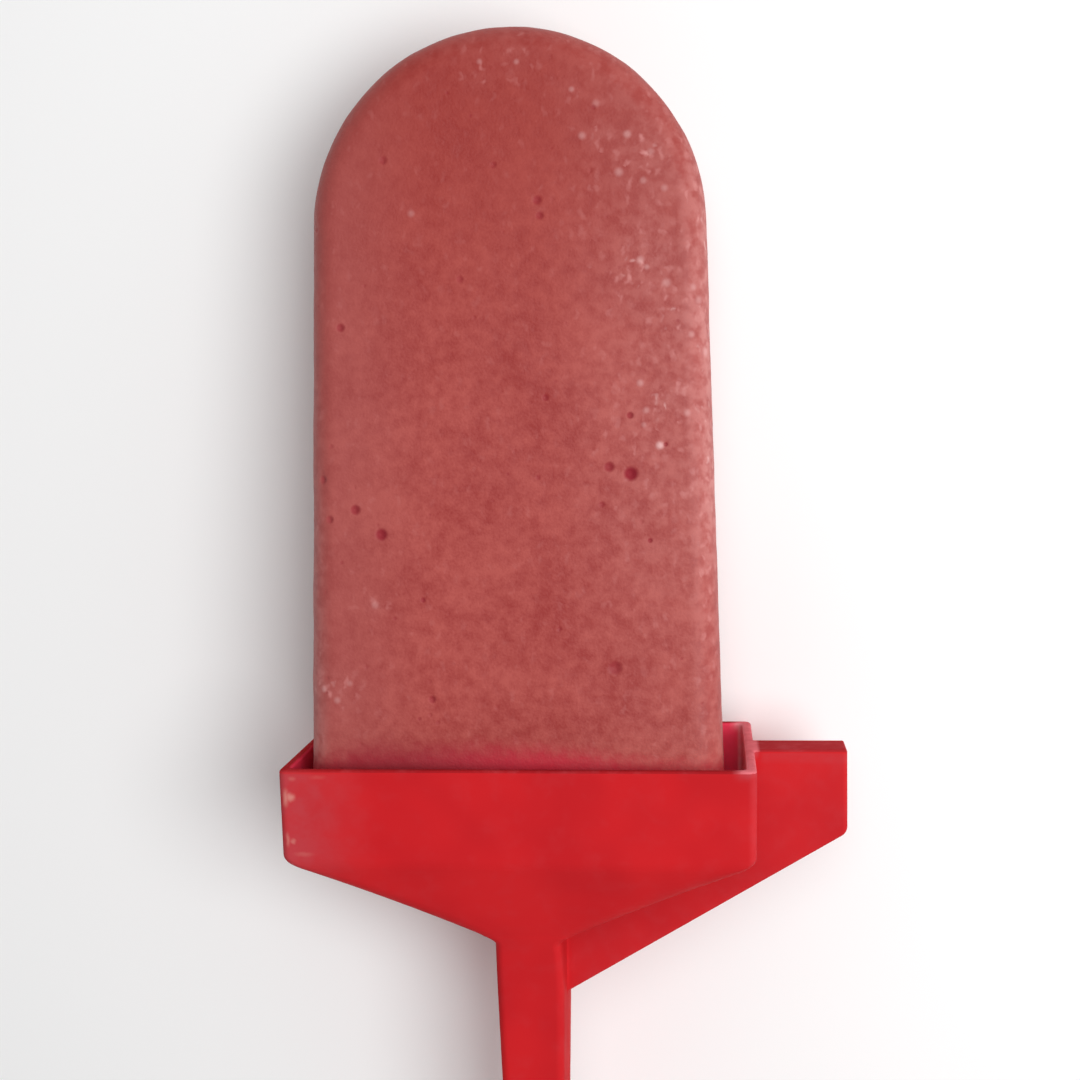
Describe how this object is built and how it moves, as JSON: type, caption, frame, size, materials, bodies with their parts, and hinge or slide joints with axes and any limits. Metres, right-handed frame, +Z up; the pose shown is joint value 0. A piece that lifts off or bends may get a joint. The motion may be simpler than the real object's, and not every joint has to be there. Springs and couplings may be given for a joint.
{
  "type": "ice pop",
  "caption": "Frozen fruit ice pop with a half-round tip, standing in the drip tray of a slim plastic handle that has a flat pouring wing on one side. It lies on its back.",
  "frame": {"origin": "middle of the whole object's underside, on the surface that it lies on", "axes": "+Y along the pop towards its tip, +X across it towards the wing, +Z up, out of the side that shows"},
  "size_m": [0.0728, 0.1776, 0.0311],
  "materials": {
    "red_plastic": "glossy moulded plastic, lightly scuffed",
    "berry_ice": "frozen fruit puree, frosty and finely pitted"
  },
  "bodies": {
    "root": {"holder": "red_plastic", "ice": "berry_ice"}
  },
  "joints": []
}
